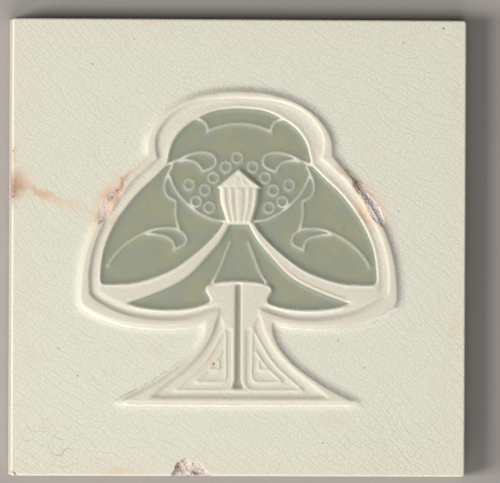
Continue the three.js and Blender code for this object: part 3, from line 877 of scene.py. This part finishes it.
# The table. A plain pale board, matt, that the tile lies on; it isn't part of the tile.
TABLE_REACH = 3.0
table_mesh = bpy.data.meshes.new("table")
table_corners = [(-1, -1, 0), (1, -1, 0), (1, 1, 0), (-1, 1, 0)]
table_mesh.from_pydata((np.array(table_corners) * TABLE_REACH).tolist(), [], [(0, 1, 2, 3)])
table = bpy.data.objects.new("table", table_mesh)
bpy.context.scene.collection.objects.link(table)
board = bpy.data.materials.new("pale_board")
board.use_nodes = True
board_finish = board.node_tree.nodes["Principled BSDF"]
board_finish.inputs["Base Color"].default_value = screen(160, 154, 149)
board_finish.inputs["Roughness"].default_value = 0.8
table_mesh.materials.append(board)

# The studio. A large soft light low at the left, a wide strip below the tile that leaves soft
# white bands in the glaze, a weak one overhead and a pale room. The camera is far above and leans
# a few degrees to the left, as the photograph shows the left side.
LIGHT_DISTANCE = 4.0
LIGHT_TINT = (1.0, 0.987, 0.97)
ROOM_TINT = (0.93, 0.97, 1.04, 1)
ROOM_LEVEL = 0.115

# Each light is (name, bearing, lift, power, width, depth, whether the glaze mirrors it), in
# degrees, watts and metres.
LIGHTS = (
    ("left_light", 192, 35, 182.0, 2.1, 1.4, False),
    ("front_light", 258, 33, 62.0, 3.2, 0.4, True),
    ("high_light", 262, 74, 24.0, 2.1, 1.4, True),
)


def aimed(thing, spot, target, roll=0.0):
    """Sets a thing's place and turn: its -Z axis points from its spot to a target, and its Y axis
    lies as near the tile's as that lets it, turned by a roll."""
    away = np.array(spot) - np.array(target)
    away = away / np.linalg.norm(away)
    side = np.cross([math.sin(roll), math.cos(roll), 0], away)
    side = side / np.linalg.norm(side)
    turned = np.eye(4)
    turned[:3] = np.column_stack([side, np.cross(away, side), away, spot])
    thing.matrix_world = Matrix(turned.tolist())


for name, bearing, lift, power, width, depth, glossy in LIGHTS:
    bearing, lift = math.radians(bearing), math.radians(lift)
    out = math.cos(lift)
    way = np.array([out * math.cos(bearing), out * math.sin(bearing), math.sin(lift)])
    light_data = bpy.data.lights.new(name, "AREA")
    light_data.shape = "RECTANGLE"
    light_data.size = width
    light_data.size_y = depth
    light_data.color = LIGHT_TINT
    light_data.energy = power
    light = bpy.data.objects.new(name, light_data)
    light.visible_glossy = glossy
    bpy.context.scene.collection.objects.link(light)
    aimed(light, LIGHT_DISTANCE * way, (0, 0, 0))

room = bpy.data.worlds.new("room")
room.use_nodes = True
background = room.node_tree.nodes["Background"]
background.inputs["Color"].default_value = ROOM_TINT
background.inputs["Strength"].default_value = ROOM_LEVEL
bpy.context.scene.world = room

# The camera. The photo's size, the tile's width and its middle are in pixels, from the top left,
# and the lean and roll in degrees. The lens is long, as the tile's sides run parallel there.
PHOTO_WIDTH, PHOTO_HEIGHT = 500, 483
TILE_WIDTH = 457
PIXEL = 152.4 * MM / TILE_WIDTH
TILE_MIDDLE = (239.1, 247.9)
CAMERA_DISTANCE = 5.0
CAMERA_LEAN = 6.6
CAMERA_ROLL = 0.25
SENSOR_WIDTH = 36.0
aim = (
    (PHOTO_WIDTH / 2 - TILE_MIDDLE[0]) * PIXEL,
    (TILE_MIDDLE[1] - PHOTO_HEIGHT / 2) * PIXEL,
    FACE,
)
lean = math.radians(CAMERA_LEAN)
camera_place = (
    aim[0] - CAMERA_DISTANCE * math.sin(lean),
    aim[1],
    aim[2] + CAMERA_DISTANCE * math.cos(lean),
)
camera_data = bpy.data.cameras.new("camera")
camera_data.sensor_width = SENSOR_WIDTH
camera_data.lens = SENSOR_WIDTH * CAMERA_DISTANCE / (PHOTO_WIDTH * PIXEL)
camera_data.clip_end = 20
camera = bpy.data.objects.new("camera", camera_data)
bpy.context.scene.collection.objects.link(camera)
aimed(camera, camera_place, aim, -math.radians(CAMERA_ROLL))
bpy.context.scene.camera = camera
bpy.context.scene.view_settings.view_transform = "Standard"
